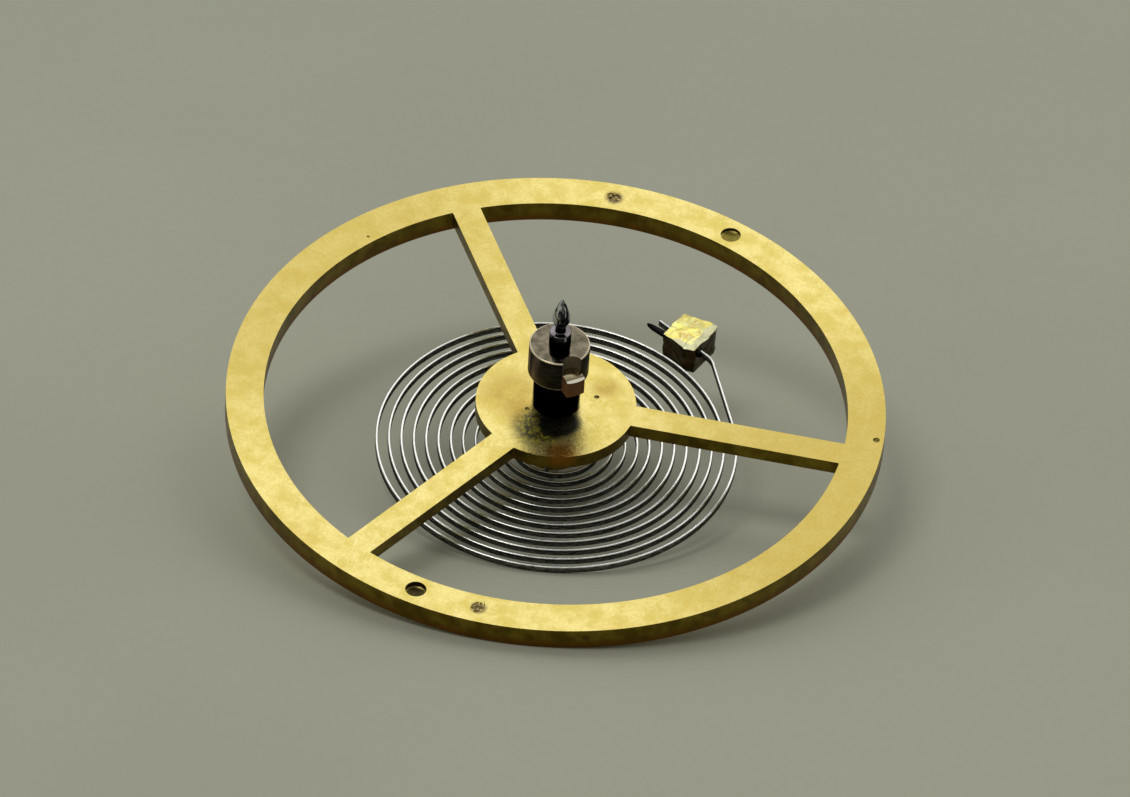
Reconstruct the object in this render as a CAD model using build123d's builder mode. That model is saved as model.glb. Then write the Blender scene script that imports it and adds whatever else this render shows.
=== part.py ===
from build123d import *
import math
import os

# A balance of a pin-lever watch, complete with its hairspring, lying with the spring below.
# The origin is the tip of the lower pivot, +Z runs up the staff, and one arm lies along +X.

os.makedirs("parts", exist_ok=True)

# Wheel: rim, arms and hub are one plate, flush on the upper face
rim_radius = 9.0
rim_width = 1.03
rim_thickness = 0.61
rim_chamfer = 0.04
hub_radius = 2.19
arm_count = 3
arm_width = 0.79
arm_thickness = 0.40
arm_fillet = 0.12

# Poising dimples, drilled into the upper face of the rim to take weight off
poise_radius = 0.29
poise_depth = 0.14
poise_inset = 0.55
poise_angles = (67.3, 255.4)

# Staff: one turning, given from the lower pivot's tip upwards
tip_radius = 0.025
lower_cone_length = 0.60
lower_barrel_length = 0.15
lower_flare_length = 0.18
lower_neck_length = 0.19
lower_shoulder_length = 0.13
barrel_radius = 0.23
neck_radius = 0.14
collet_seat_radius = 0.40
body_radius = 0.50
body_length = 0.55
rivet_radius = 0.65
rivet_thickness = 0.10
wheel_seat_radius = 0.55
column_radius = 0.65
column_length = 1.20
roller_seat_radius = 0.45
shoulder_radius = 0.30
shoulder_length = 0.47
upper_neck_length = 0.19
upper_flare_length = 0.18
upper_barrel_length = 0.15
upper_cone_length = 0.63
ogive_depth = 0.035

# Safety roller, with its passing hollow, and the impulse finger in its lower half
roller_radius = 0.83
roller_height = 0.98
roller_chamfer = 0.03
hollow_radius = 0.27
finger_angle = -52.6
finger_tip_radius = 1.10
finger_width = 0.50
finger_height = 0.55
finger_chamfer = 0.035

# Hairspring strip and its spiral of half-turn arcs
strip_thickness = 0.05
strip_height = 0.20
strip_lift = 0.05
half_turns = 15
first_coil_radius = 1.45
outer_coil_radius = 5.00
inner_tail = 0.50
outer_tail = 0.77
stud_bend_radius = 0.60
stud_run = 0.13

# Collet: a split ring on the staff, cross-drilled for the strip and its pin
collet_radius = 0.90
collet_height = 0.70
collet_slit = 0.10
collet_chamfer = 0.05
pin_hole_radius = 0.13
pin_hole_offset = 0.64
pin_radius = 0.125
pin_clearance = 0.005
collet_pin_thin_end = 0.66
collet_pin_thick_end = 0.86

# Stud: a filed block at the strip's outer end, held by the same kind of pin
stud_hole_distance = 0.524
stud_angle = 61.32
stud_heading = 157.0
stud_length = 1.04
stud_width = 1.24
stud_height = 0.90
stud_drop = 0.60
stud_outset = 0.32
stud_corner = 0.16
stud_slant = 0.10
stud_chamfer = 0.05
stud_pin_thick_end = 0.62
stud_pin_thin_end = 1.38

# Samples on each arc when the gap between the turns is measured
samples_per_arc = 24


def polar(reach, angle):
    """A point at a distance from the staff and an angle from +X."""
    turn = math.radians(angle)
    return Vector(reach * math.cos(turn), reach * math.sin(turn))


def distance_from_staff(shape):
    """How far the middle of a face, edge or corner is from the staff's axis."""
    return math.hypot(shape.center().X, shape.center().Y)


# Heights up the staff
lower_barrel_top = lower_cone_length + lower_barrel_length
lower_flare_top = lower_barrel_top + lower_flare_length
lower_neck_top = lower_flare_top + lower_neck_length
collet_floor = lower_neck_top + lower_shoulder_length
collet_top = collet_floor + collet_height
wheel_floor = collet_top + body_length + rivet_thickness
wheel_top = wheel_floor + arm_thickness
roller_floor = wheel_top + column_length
roller_top = roller_floor + roller_height
shoulder_top = roller_top + shoulder_length
neck_top = shoulder_top + upper_neck_length
barrel_floor = neck_top + upper_flare_length
barrel_top = barrel_floor + upper_barrel_length
staff_top = barrel_top + upper_cone_length
strip_middle = collet_floor + strip_lift + strip_height / 2

rim_inner_radius = rim_radius - rim_width


# Balance wheel
def is_arm_corner(vertex):
    reach = distance_from_staff(vertex)
    return wheel_seat_radius < reach < rim_inner_radius + rim_width / 4


with BuildPart() as balance_wheel:
    with BuildSketch(Plane.XY.offset(wheel_top)):
        Circle(rim_radius)
        Circle(rim_inner_radius, mode=Mode.SUBTRACT)
    extrude(amount=-rim_thickness)
    circles = balance_wheel.edges().filter_by(GeomType.CIRCLE)
    chamfer(circles.group_by(SortBy.RADIUS)[-1], length=rim_chamfer)
    with BuildSketch(Plane.XY.offset(wheel_top)) as web:
        Circle(rim_inner_radius + rim_width / 2)
        Circle(rim_inner_radius, mode=Mode.SUBTRACT)
        Circle(hub_radius)
        arm_reach = rim_inner_radius + rim_width / 2
        with PolarLocations(arm_reach / 2, arm_count):
            Rectangle(arm_reach, arm_width)
        fillet(web.vertices().filter_by(is_arm_corner), radius=arm_fillet)
        Circle(wheel_seat_radius, mode=Mode.SUBTRACT)
    extrude(amount=-arm_thickness)
    with BuildSketch(Plane.XY.offset(wheel_top)):
        for angle in poise_angles:
            with Locations(polar(rim_radius - poise_inset, angle)):
                Circle(poise_radius)
    extrude(amount=-poise_depth, mode=Mode.SUBTRACT)
balance_wheel.part.label = "balance_wheel"
export_step(balance_wheel.part, "parts/balance_wheel.step")


# Balance staff: the outline is revolved, and each step of the turning is a radius and its top
staff_steps = [
    (shoulder_radius, collet_floor),
    (collet_seat_radius, collet_top),
    (body_radius, collet_top + body_length),
    (rivet_radius, wheel_floor),
    (wheel_seat_radius, wheel_top),
    (column_radius, roller_floor),
    (roller_seat_radius, roller_top),
    (shoulder_radius, shoulder_top),
    (neck_radius, neck_top),
]
outline = [
    (barrel_radius, lower_cone_length),
    (barrel_radius, lower_barrel_top),
    (neck_radius, lower_flare_top),
    (neck_radius, lower_neck_top),
]
for step_radius, step_top in staff_steps:
    outline.append((step_radius, outline[-1][1]))
    outline.append((step_radius, step_top))
outline += [(barrel_radius, barrel_floor), (barrel_radius, barrel_top)]
ogive_radius = (barrel_radius + tip_radius) / 2 + ogive_depth
lower_ogive = (ogive_radius, lower_cone_length / 2)
upper_ogive = (ogive_radius, (barrel_top + staff_top) / 2)

with BuildPart() as balance_staff:
    with BuildSketch(Plane.XZ):
        with BuildLine():
            ThreePointArc((tip_radius, 0), lower_ogive, outline[0])
            Polyline(*outline)
            ThreePointArc(outline[-1], upper_ogive, (tip_radius, staff_top))
            Polyline((tip_radius, staff_top), (0, staff_top), (0, 0), (tip_radius, 0))
        make_face()
    revolve(axis=Axis.Z)
balance_staff.part.label = "balance_staff"
export_step(balance_staff.part, "parts/balance_staff.step")


# Safety roller and impulse finger share one direction
finger_direction = polar(1, finger_angle)
finger_plane = Plane(origin=(0, 0, roller_floor), x_dir=finger_direction, z_dir=(0, 0, 1))

with BuildPart() as safety_roller:
    with BuildSketch(finger_plane):
        Circle(roller_radius)
        Circle(roller_seat_radius, mode=Mode.SUBTRACT)
    extrude(amount=roller_height)
    upper_edges = safety_roller.faces().sort_by(Axis.Z)[-1].edges()
    chamfer(upper_edges.sort_by(SortBy.RADIUS)[-1], length=roller_chamfer)
    with BuildSketch(finger_plane.offset(finger_height)):
        with Locations((roller_radius, 0)):
            Circle(hollow_radius)
    extrude(amount=roller_height, mode=Mode.SUBTRACT)
    with BuildSketch(finger_plane):
        with Locations((finger_tip_radius / 2, 0)):
            Rectangle(finger_tip_radius, finger_width)
    extrude(amount=finger_height, mode=Mode.SUBTRACT)
safety_roller.part.label = "safety_roller"
export_step(safety_roller.part, "parts/safety_roller.step")

with BuildPart() as impulse_finger:
    with BuildSketch(finger_plane):
        with Locations((finger_tip_radius / 2, 0)):
            Rectangle(finger_tip_radius, finger_width)
        Circle(finger_tip_radius, mode=Mode.INTERSECT)
        Circle(roller_seat_radius, mode=Mode.SUBTRACT)
    extrude(amount=finger_height)
    front = impulse_finger.faces().filter_by(GeomType.CYLINDER).sort_by(distance_from_staff)[-1]
    chamfer(front.edges().filter_by(GeomType.CIRCLE).sort_by(Axis.Z)[-1], length=finger_chamfer)
impulse_finger.part.label = "impulse_finger"
export_step(impulse_finger.part, "parts/impulse_finger.step")


# Collet, cross-drilled along X, and split on the side away from the hole
with BuildPart() as hairspring_collet:
    with BuildSketch(Plane.XY.offset(collet_floor)):
        Circle(collet_radius)
        Circle(collet_seat_radius, mode=Mode.SUBTRACT)
        with Locations((0, -collet_radius / 2)):
            Rectangle(collet_slit, collet_radius, mode=Mode.SUBTRACT)
    extrude(amount=collet_height)
    rims = hairspring_collet.edges().filter_by(GeomType.CIRCLE).group_by(SortBy.RADIUS)[-1]
    chamfer(rims, length=collet_chamfer)
    with BuildSketch(Plane.YZ):
        with Locations((pin_hole_offset, strip_middle)):
            Circle(pin_hole_radius)
    extrude(amount=collet_radius, both=True, mode=Mode.SUBTRACT)
hairspring_collet.part.label = "hairspring_collet"
export_step(hairspring_collet.part, "parts/hairspring_collet.step")

# Both pins are round with a flat filed along them, which bears on the strip
with BuildPart() as collet_pin:
    with BuildSketch(Plane.YZ.offset(-collet_pin_thin_end)):
        with Locations((pin_hole_offset, strip_middle)):
            Circle(pin_radius)
        with Locations((pin_hole_offset - pin_clearance + pin_radius, strip_middle)):
            Rectangle(pin_radius * 2, pin_radius * 2, mode=Mode.SUBTRACT)
    extrude(amount=collet_pin_thin_end + collet_pin_thick_end)
collet_pin.part.label = "collet_pin"
export_step(collet_pin.part, "parts/collet_pin.step")


# Hairspring: from the collet's hole, round the half turns, and out to the stud
coil_steps = half_turns - 1
coil_pitch = (outer_coil_radius - first_coil_radius) / (coil_steps / 2 + 1 / 4)
strip_offset = pin_hole_offset + strip_thickness / 2
coil_start = coil_pitch / 4 - first_coil_radius
inner_bend_start = coil_start + strip_offset

along_stud = polar(1, stud_heading)
outwards = polar(1, stud_heading - 90.0)
stud_point = polar(outer_coil_radius + stud_hole_distance, stud_angle)

# The outer end leaves the coil's circle on the straight run that also touches the stud's bend
stud_bend_finish = stud_point - along_stud * (stud_length / 2 + stud_run)
stud_bend_centre = stud_bend_finish - outwards * stud_bend_radius
centre_reach = math.hypot(stud_bend_centre.X, stud_bend_centre.Y)
centre_angle = math.degrees(math.atan2(stud_bend_centre.Y, stud_bend_centre.X))
run_lean = math.degrees(math.acos((outer_coil_radius - stud_bend_radius) / centre_reach))
end_bend_angle = centre_angle - run_lean
stud_bend_angle = stud_heading - 90.0 - end_bend_angle
run_begin = polar(outer_coil_radius, end_bend_angle)
run_finish = stud_bend_centre + polar(stud_bend_radius, end_bend_angle)

# Each arc is a centre, a radius, a start angle and a sweep, all anticlockwise from above
arcs = [((inner_bend_start, 0), strip_offset, 90.0, 90.0)]
for step in range(half_turns):
    side = 1 if step % 2 == 0 else -1
    centre = (side * coil_pitch / 4, 0)
    radius = first_coil_radius + step * coil_pitch / 2
    arcs.append((centre, radius, 90.0 + side * 90.0, 180.0))
arcs.append(((0, 0), outer_coil_radius, 0.0, end_bend_angle))
arcs.append(((stud_bend_centre.X, stud_bend_centre.Y), stud_bend_radius, end_bend_angle, stud_bend_angle))

with BuildPart() as hairspring:
    with BuildLine(Plane.XY.offset(strip_middle)):
        Line((inner_tail, strip_offset), (inner_bend_start, strip_offset))
        for centre, radius, start_angle, sweep_angle in arcs:
            CenterArc(centre, radius, start_angle, sweep_angle)
        Line((run_begin.X, run_begin.Y), (run_finish.X, run_finish.Y))
        tail = stud_point + along_stud * outer_tail
        Line((stud_bend_finish.X, stud_bend_finish.Y), (tail.X, tail.Y))
    strip_plane = Plane(
        origin=(inner_tail, strip_offset, strip_middle), x_dir=(0, 1, 0), z_dir=(-1, 0, 0)
    )
    with BuildSketch(strip_plane):
        Rectangle(strip_thickness, strip_height)
    sweep()
hairspring.part.label = "hairspring"
export_step(hairspring.part, "parts/hairspring.step")

# The least gap between the strip and itself, measured on points of its middle line
route = []
for centre, radius, start_angle, sweep_angle in arcs:
    for sample in range(samples_per_arc):
        angle = start_angle + sweep_angle * sample / samples_per_arc
        spot = polar(radius, angle) + Vector(centre[0], centre[1])
        route.append((spot.X, spot.Y, radius * math.radians(sweep_angle) / samples_per_arc))
travelled = [0.0]
for spot in route:
    travelled.append(travelled[-1] + spot[2])
least_gap = rim_radius
for first, (x1, y1, _) in enumerate(route):
    for second in range(first + 1, len(route)):
        apart = travelled[second] - travelled[first]
        gap = math.hypot(route[second][0] - x1, route[second][1] - y1)
        if apart > 2 * gap + strip_height:
            least_gap = min(least_gap, gap - strip_thickness)
print("hairspring: least gap between turns", round(least_gap, 3), "mm")
print("hairspring: strip length", round(travelled[-1], 1), "mm, turns", half_turns / 2)
print("hairspring: leaves the coil's circle at", round(end_bend_angle, 2), "degrees")


# Stud, with its hole on the side next to the staff, and its pin
stud_plane = Plane(
    origin=(stud_point.X, stud_point.Y, strip_middle - stud_drop), x_dir=along_stud, z_dir=(0, 0, 1)
)
hole_plane = Plane(
    origin=(stud_point.X, stud_point.Y, strip_middle), x_dir=outwards, z_dir=along_stud
)
hole_shift = -strip_thickness / 2

with BuildPart() as hairspring_stud:
    with BuildSketch(stud_plane):
        far = -stud_outset - stud_width / 2
        near = -stud_outset + stud_width / 2
        front_end = stud_length / 2
        with BuildLine():
            Polyline(
                (-front_end + stud_slant, far),
                (front_end - stud_corner, far),
                (front_end, far + stud_corner),
                (front_end - stud_slant, near - stud_corner),
                (front_end - stud_slant - stud_corner, near),
                (-front_end + stud_corner, near),
                (-front_end, near - stud_corner),
                close=True,
            )
        make_face()
    extrude(amount=stud_height)
    chamfer(hairspring_stud.faces().sort_by(Axis.Z)[-1].edges(), length=stud_chamfer)
    with BuildSketch(hole_plane):
        with Locations((hole_shift, 0)):
            Circle(pin_hole_radius)
    extrude(amount=stud_length, both=True, mode=Mode.SUBTRACT)
hairspring_stud.part.label = "hairspring_stud"
export_step(hairspring_stud.part, "parts/hairspring_stud.step")

with BuildPart() as stud_pin:
    with BuildSketch(hole_plane.offset(-stud_pin_thick_end)):
        with Locations((hole_shift, 0)):
            Circle(pin_radius)
        with Locations((hole_shift - pin_clearance + pin_radius, 0)):
            Rectangle(pin_radius * 2, pin_radius * 2, mode=Mode.SUBTRACT)
    extrude(amount=stud_pin_thick_end + stud_pin_thin_end)
stud_pin.part.label = "stud_pin"
export_step(stud_pin.part, "parts/stud_pin.step")
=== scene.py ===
import math
import random

import bmesh
import bpy
from mathutils import Matrix, Vector, noise
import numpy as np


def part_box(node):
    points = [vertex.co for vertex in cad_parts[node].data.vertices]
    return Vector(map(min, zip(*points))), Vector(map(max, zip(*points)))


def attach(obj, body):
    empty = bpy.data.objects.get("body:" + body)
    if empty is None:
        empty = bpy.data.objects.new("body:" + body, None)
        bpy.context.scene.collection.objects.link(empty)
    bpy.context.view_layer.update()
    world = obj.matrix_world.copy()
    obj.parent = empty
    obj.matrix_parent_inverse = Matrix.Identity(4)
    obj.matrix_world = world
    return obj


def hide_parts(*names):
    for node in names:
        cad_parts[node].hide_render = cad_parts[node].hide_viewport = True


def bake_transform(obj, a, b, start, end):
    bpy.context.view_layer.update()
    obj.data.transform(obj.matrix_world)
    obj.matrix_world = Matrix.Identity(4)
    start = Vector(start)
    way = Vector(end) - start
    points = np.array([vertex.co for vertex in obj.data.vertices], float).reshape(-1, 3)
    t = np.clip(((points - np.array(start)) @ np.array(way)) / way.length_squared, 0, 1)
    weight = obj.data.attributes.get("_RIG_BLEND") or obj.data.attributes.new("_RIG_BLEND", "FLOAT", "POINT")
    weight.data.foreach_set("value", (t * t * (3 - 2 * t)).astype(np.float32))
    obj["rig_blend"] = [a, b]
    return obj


# A watch balance in brass and steel, lying on its rim and its lower pivot.
# Forms are made in millimetres, and finished pieces are in metres.
MM = 0.001

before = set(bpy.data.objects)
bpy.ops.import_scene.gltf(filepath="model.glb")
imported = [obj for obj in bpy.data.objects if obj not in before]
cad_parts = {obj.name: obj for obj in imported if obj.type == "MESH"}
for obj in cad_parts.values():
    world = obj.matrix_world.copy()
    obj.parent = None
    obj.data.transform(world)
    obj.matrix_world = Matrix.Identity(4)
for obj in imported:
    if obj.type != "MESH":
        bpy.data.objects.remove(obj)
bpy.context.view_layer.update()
scene = bpy.context.scene


def box_of(node):
    """The lowest and highest corner of a CAD node, in millimetres."""
    low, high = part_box(node)
    return low / MM, high / MM


def turned(reach, angle, height=0.0):
    """A point at a distance from the staff, an angle from +X and a height."""
    turn = math.radians(angle)
    return Vector((reach * math.cos(turn), reach * math.sin(turn), height))


wheel_low, wheel_high = box_of("balance_wheel")
staff_low, staff_high = box_of("balance_staff")
roller_low, roller_high = box_of("safety_roller")
finger_low, finger_high = box_of("impulse_finger")
spring_low, spring_high = box_of("hairspring")
collet_low, collet_high = box_of("hairspring_collet")
stud_low, stud_high = box_of("hairspring_stud")

upwards = Vector((0, 0, 1))
wheel_radius = wheel_high.x
wheel_top = wheel_high.z
strip_middle = (spring_low.z + spring_high.z) / 2
weld_distance = 0.0005
# A face that looks up or down by less than this counts as a wall
wall_lean = 0.5


# Forms: short helpers round the mesh operators
def spin_outline(form, outline, steps, closed=False):
    """Turns a run of (radius, height) points once round the staff's axis."""
    corners = [form.verts.new((radius, 0, height)) for radius, height in outline]
    edges = [form.edges.new(pair) for pair in zip(corners, corners[1:])]
    if closed:
        edges.append(form.edges.new((corners[-1], corners[0])))
    bmesh.ops.spin(
        form, geom=corners + edges, cent=(0, 0, 0), axis=(0, 0, 1),
        angle=math.tau, steps=steps, use_merge=True, use_duplicate=False,
    )
    bmesh.ops.remove_doubles(form, verts=form.verts, dist=weld_distance)
    bmesh.ops.recalc_face_normals(form, faces=form.faces)


def cylinder(base, axis, radius, length, sides):
    """A closed round bar that starts at a point and runs along an axis."""
    form = bmesh.new()
    bmesh.ops.create_cone(
        form, cap_ends=True, segments=sides, radius1=radius, radius2=radius, depth=length
    )
    turn = axis.to_track_quat("Z", "Y").to_matrix().to_4x4()
    place = Matrix.Translation(base + axis.normalized() * length / 2)
    bmesh.ops.transform(form, matrix=place @ turn, verts=form.verts)
    return form


def block(low, high, angle=0.0):
    """A block between two corners, turned round the staff's axis by an angle."""
    form = bmesh.new()
    bmesh.ops.create_cube(form, size=1.0)
    low, high = Vector(low), Vector(high)
    bmesh.ops.scale(form, vec=high - low, verts=form.verts)
    bmesh.ops.translate(form, vec=(low + high) / 2, verts=form.verts)
    turn_round(form, angle)
    return form


def turn_round(form, angle):
    """Turns a form round the staff's axis, by an angle in degrees."""
    turn = Matrix.Rotation(math.radians(angle), 3, "Z")
    bmesh.ops.rotate(form, cent=(0, 0, 0), matrix=turn, verts=form.verts)


def sharp_edges(form, least_degrees):
    least = math.radians(least_degrees)
    return [edge for edge in form.edges if edge.is_manifold and edge.calc_face_angle() > least]


def worn_highlight_layer(form):
    """The mark on faces where the edge of the metal is rubbed or filed bright, which the finishes paint near
    white as a painted highlight.
    """
    return form.faces.layers.float.get("worn_highlight") or form.faces.layers.float.new("worn_highlight")


def round_edges(form, edges, width, segments, worn_highlight_share=1.0):
    """Rounds edges, and marks how much of the rubbed edge's painted highlight the new faces take."""
    worn_highlight = worn_highlight_layer(form)
    made = bmesh.ops.bevel(
        form, geom=edges, offset=width, offset_type="OFFSET", segments=segments,
        profile=0.5, affect="EDGES", material=-1, clamp_overlap=True,
    )
    for face in made["faces"]:
        face[worn_highlight] = worn_highlight_share


def slice_off(form, place, facing, worn_highlight_share=0.0):
    """Cuts away what lies beyond a plane, and closes the cut with a flat face."""
    worn_highlight = worn_highlight_layer(form)
    everything = form.verts[:] + form.edges[:] + form.faces[:]
    cut = bmesh.ops.bisect_plane(
        form, geom=everything, plane_co=place, plane_no=facing, clear_outer=True
    )
    outline = [item for item in cut["geom_cut"] if isinstance(item, bmesh.types.BMEdge)]
    made = bmesh.ops.contextual_create(form, geom=outline)
    for face in made["faces"]:
        face[worn_highlight] = worn_highlight_share


def add_object(name, data):
    made = bpy.data.objects.new(name, data)
    scene.collection.objects.link(made)
    return made


def shown_form(form, name):
    """Turns a form into an object in the scene."""
    mesh = bpy.data.meshes.new(name)
    form.to_mesh(mesh)
    form.free()
    return add_object(name, mesh)


def combine(form, other, operation):
    """Joins another closed form to this one, or cuts it away."""
    holders = [shown_form(source, "working_form") for source in (form, other)]
    step = holders[0].modifiers.new("combine", "BOOLEAN")
    step.solver = "EXACT"
    step.operation = operation
    step.object = holders[1]
    bpy.context.view_layer.update()
    shown = holders[0].evaluated_get(bpy.context.evaluated_depsgraph_get())
    result = bmesh.new()
    result.from_mesh(shown.to_mesh())
    shown.to_mesh_clear()
    for holder in holders:
        mesh = holder.data
        bpy.data.objects.remove(holder)
        bpy.data.meshes.remove(mesh)
    return result


def mark_walls(form):
    """Marks upright faces that aren't rubbed edges as walls, which the finishes paint darker as painted
    shade.
    """
    worn_highlight = worn_highlight_layer(form)
    wall = form.faces.layers.float.new("wall")
    form.normal_update()
    for face in form.faces:
        upright = abs(face.normal.z) < wall_lean
        face[wall] = 1.0 if upright and face[worn_highlight] < 0.5 else 0.0


def finish_piece(form, name, body, slot, nodes, smooth_degrees=40.0):
    """Makes a form in millimetres into a piece in metres that stands for CAD nodes."""
    bmesh.ops.remove_doubles(form, verts=form.verts, dist=weld_distance)
    mark_walls(form)
    bmesh.ops.scale(form, vec=(MM, MM, MM), verts=form.verts)
    piece = shown_form(form, name)
    piece.data.materials.append(materials[slot])
    piece.data.shade_smooth()
    piece.data.set_sharp_from_angle(angle=math.radians(smooth_degrees))
    even = piece.modifiers.new("even_normals", "WEIGHTED_NORMAL")
    even.keep_sharp = True
    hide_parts(*nodes)
    if body:
        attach(piece, body)
    return piece


# Finishes: groups that several materials use
def shade(red, green, blue):
    """A colour as seen on a screen, from 0 to 255, as the linear colour that a node takes."""
    seen = (red / 255, green / 255, blue / 255)
    return tuple(v / 12.92 if v <= 0.04045 else ((v + 0.055) / 1.055) ** 2.4 for v in seen) + (1.0,)


def new_group(name, inputs, outputs):
    """An empty shader group with named sockets, its entry and its exit."""
    group = bpy.data.node_groups.new(name, "ShaderNodeTree")
    for socket, kind, value in inputs:
        made = group.interface.new_socket(socket, in_out="INPUT", socket_type="NodeSocket" + kind)
        made.default_value = value
    for socket, kind in outputs:
        group.interface.new_socket(socket, in_out="OUTPUT", socket_type="NodeSocket" + kind)
    return group, group.nodes.new("NodeGroupInput"), group.nodes.new("NodeGroupOutput")


class Tree:
    """Adds nodes to a shader tree and links them."""

    def __init__(self, tree):
        self.nodes = tree.nodes
        self.links = tree.links

    def feed(self, socket, value):
        if isinstance(value, bpy.types.NodeSocket):
            self.links.new(value, socket)
        elif value is not None:
            socket.default_value = value

    def math(self, operation, first, second=None):
        made = self.nodes.new("ShaderNodeMath")
        made.operation = operation
        for socket, value in zip(made.inputs, (first, second)):
            self.feed(socket, value)
        return made.outputs[0]

    def vector(self, operation, first, second=None):
        made = self.nodes.new("ShaderNodeVectorMath")
        made.operation = operation
        self.feed(made.inputs[0], first)
        self.feed(made.inputs[1], second)
        return made.outputs["Value" if operation in ("LENGTH", "DISTANCE") else "Vector"]

    def part(self, vector, axis):
        made = self.nodes.new("ShaderNodeSeparateXYZ")
        self.feed(made.inputs[0], vector)
        return made.outputs[axis]

    def noise(self, vector, scale, detail=3.0, roughness=0.55, distortion=0.0):
        made = self.nodes.new("ShaderNodeTexNoise")
        self.feed(made.inputs["Vector"], vector)
        self.feed(made.inputs["Scale"], scale)
        made.inputs["Detail"].default_value = detail
        made.inputs["Roughness"].default_value = roughness
        made.inputs["Distortion"].default_value = distortion
        return made.outputs["Fac"]

    def range(self, value, low, high, to_low=0.0, to_high=1.0):
        made = self.nodes.new("ShaderNodeMapRange")
        made.interpolation_type = "SMOOTHSTEP"
        for socket, given in zip(made.inputs, (value, low, high, to_low, to_high)):
            self.feed(socket, given)
        return made.outputs["Result"]

    def mix(self, factor, first, second):
        made = self.nodes.new("ShaderNodeMix")
        made.data_type = "RGBA"
        self.feed(made.inputs["Factor"], factor)
        self.feed(made.inputs[6], first)
        self.feed(made.inputs[7], second)
        return made.outputs[2]

    def cover(self, colour, share, mask, tint):
        """Lays a tint over a colour where a mask is, up to a share of the whole."""
        return self.mix(self.math("MULTIPLY", mask, share), colour, tint)

    def near(self, place, centre, radius, softness=0.3):
        """A mask that is 1 close to a point and falls to 0 at a radius."""
        away = self.vector("DISTANCE", place, tuple(centre))
        return self.range(away, radius * (1 - softness), radius, 1.0, 0.0)

    def mark(self, name):
        made = self.nodes.new("ShaderNodeAttribute")
        made.attribute_name = name
        return made.outputs["Fac"]

    def group(self, group, **values):
        made = self.nodes.new("ShaderNodeGroup")
        made.node_tree = group
        for name, value in values.items():
            self.feed(made.inputs[name], value)
        return made.outputs

    def bump(self, height, depth, normal=None):
        """Bump of a depth in millimetres, over another bump where one is given."""
        made = self.nodes.new("ShaderNodeBump")
        made.inputs["Strength"].default_value = 1.0
        made.inputs["Distance"].default_value = depth * MM
        self.feed(made.inputs["Height"], height)
        self.feed(made.inputs["Normal"], normal)
        return made.outputs["Normal"]


def grain_group():
    """Fine grain, even or stretched along an axis: a mask for colour and a height for bump."""
    group, entry, leave = new_group(
        "grain",
        [("Place", "Vector", (0, 0, 0)), ("Stretch", "Vector", (1, 1, 1)), ("Fineness", "Float", 10.0)],
        [("Mask", "Float"), ("Height", "Float")],
    )
    tree = Tree(group)
    stretched = tree.vector("MULTIPLY", entry.outputs["Place"], entry.outputs["Stretch"])
    coarse = tree.noise(stretched, entry.outputs["Fineness"], detail=4.0, roughness=0.6)
    tree.feed(leave.inputs["Mask"], tree.range(coarse, 0.35, 0.65))
    tree.feed(leave.inputs["Height"], coarse)
    return group


def turning_group():
    """Rings that a turning tool leaves round the staff's axis, as a height from 0 to 1."""
    group, entry, leave = new_group(
        "turning",
        [("Place", "Vector", (0, 0, 0)), ("Fineness", "Float", 20.0), ("Waver", "Float", 0.4)],
        [("Height", "Float")],
    )
    tree = Tree(group)
    flat = tree.vector("MULTIPLY", entry.outputs["Place"], (1, 1, 0))
    reach = tree.math("MULTIPLY", tree.vector("LENGTH", flat), entry.outputs["Fineness"])
    heading = tree.vector("NORMALIZE", flat)
    across = tree.math("MULTIPLY", tree.part(heading, "X"), entry.outputs["Waver"])
    along = tree.math("MULTIPLY", tree.part(heading, "Y"), entry.outputs["Waver"])
    joined = tree.nodes.new("ShaderNodeCombineXYZ")
    for socket, value in zip(joined.inputs, (reach, across, along)):
        tree.feed(socket, value)
    tree.feed(leave.inputs["Height"], tree.noise(joined.outputs[0], 1.0, detail=2.0, roughness=0.6))
    return group


def tarnish_group():
    """Cloudy patches where the air has dulled the metal. Cover runs from 0 to 1."""
    group, entry, leave = new_group(
        "tarnish",
        [("Place", "Vector", (0, 0, 0)), ("Patch", "Float", 1.0), ("Cover", "Float", 0.5)],
        [("Mask", "Float"), ("Specks", "Float")],
    )
    tree = Tree(group)
    place, patch = entry.outputs["Place"], entry.outputs["Patch"]
    cloud = tree.noise(place, patch, detail=5.0, roughness=0.6, distortion=0.4)
    start = tree.math("SUBTRACT", 0.85, tree.math("MULTIPLY", entry.outputs["Cover"], 0.6))
    finish = tree.math("ADD", start, 0.18)
    tree.feed(leave.inputs["Mask"], tree.range(cloud, start, finish))
    dots = tree.noise(place, tree.math("MULTIPLY", patch, 9.0), detail=2.0, roughness=0.5)
    tree.feed(leave.inputs["Specks"], tree.range(dots, 0.66, 0.74))
    return group


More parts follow.
